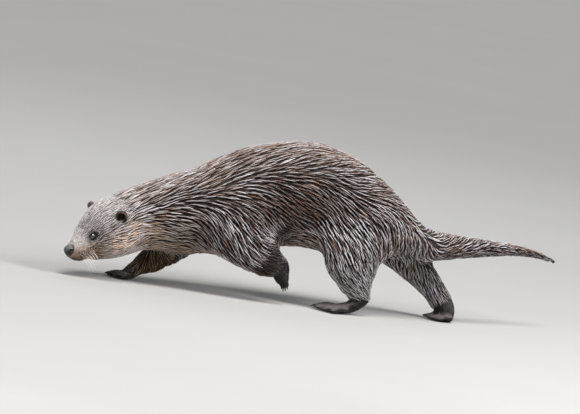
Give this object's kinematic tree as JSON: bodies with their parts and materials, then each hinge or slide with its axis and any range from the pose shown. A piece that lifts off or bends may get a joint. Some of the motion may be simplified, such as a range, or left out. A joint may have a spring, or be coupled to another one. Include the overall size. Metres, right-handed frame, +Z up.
{
  "type": "eurasian otter, still life-size model",
  "caption": "Life-size still model of a Eurasian otter walking with its head low, back arched, tail trailing and a forepaw lifted.",
  "frame": {"origin": "on the floor, under the middle of the animal's box", "axes": "+Z up; the otter faces -X, its tail points to +X, its left side is towards -Y"},
  "size_m": [0.8518, 0.243, 0.2468],
  "materials": {
    "coat": "damp dense fur in pointed locks",
    "claw": "horn, satin",
    "nose": "wet bare skin, fine pebbling",
    "ear": "thin skin with short down",
    "eye": "wet, glossy, dark brown"
  },
  "bodies": {
    "root": {"head": "coat", "neck": "coat", "chest": "coat", "loin": "coat", "tail_root": "coat", "tail_middle": "coat", "tail_tip": "coat", "fore_left_upper_arm": "coat", "fore_left_forearm": "coat", "fore_left_paw": "coat", "fore_left_claw_1": "claw", "fore_left_claw_2": "claw", "fore_left_claw_3": "claw", "fore_left_claw_4": "claw", "fore_left_claw_5": "claw", "fore_right_upper_arm": "coat", "fore_right_forearm": "coat", "fore_right_paw": "coat", "fore_right_claw_1": "claw", "fore_right_claw_2": "claw", "fore_right_claw_3": "claw", "fore_right_claw_4": "claw", "fore_right_claw_5": "claw", "hind_left_thigh": "coat", "hind_left_shank": "coat", "hind_left_foot": "coat", "hind_left_claw_1": "claw", "hind_left_claw_2": "claw", "hind_left_claw_3": "claw", "hind_left_claw_4": "claw", "hind_left_claw_5": "claw", "hind_right_thigh": "coat", "hind_right_shank": "coat", "hind_right_foot": "coat", "hind_right_claw_1": "claw", "hind_right_claw_2": "claw", "hind_right_claw_3": "claw", "hind_right_claw_4": "claw", "hind_right_claw_5": "claw", "nose_pad": "nose", "eye_left": "eye", "ear_left": "ear", "eye_right": "eye", "ear_right": "ear"}
  },
  "joints": []
}
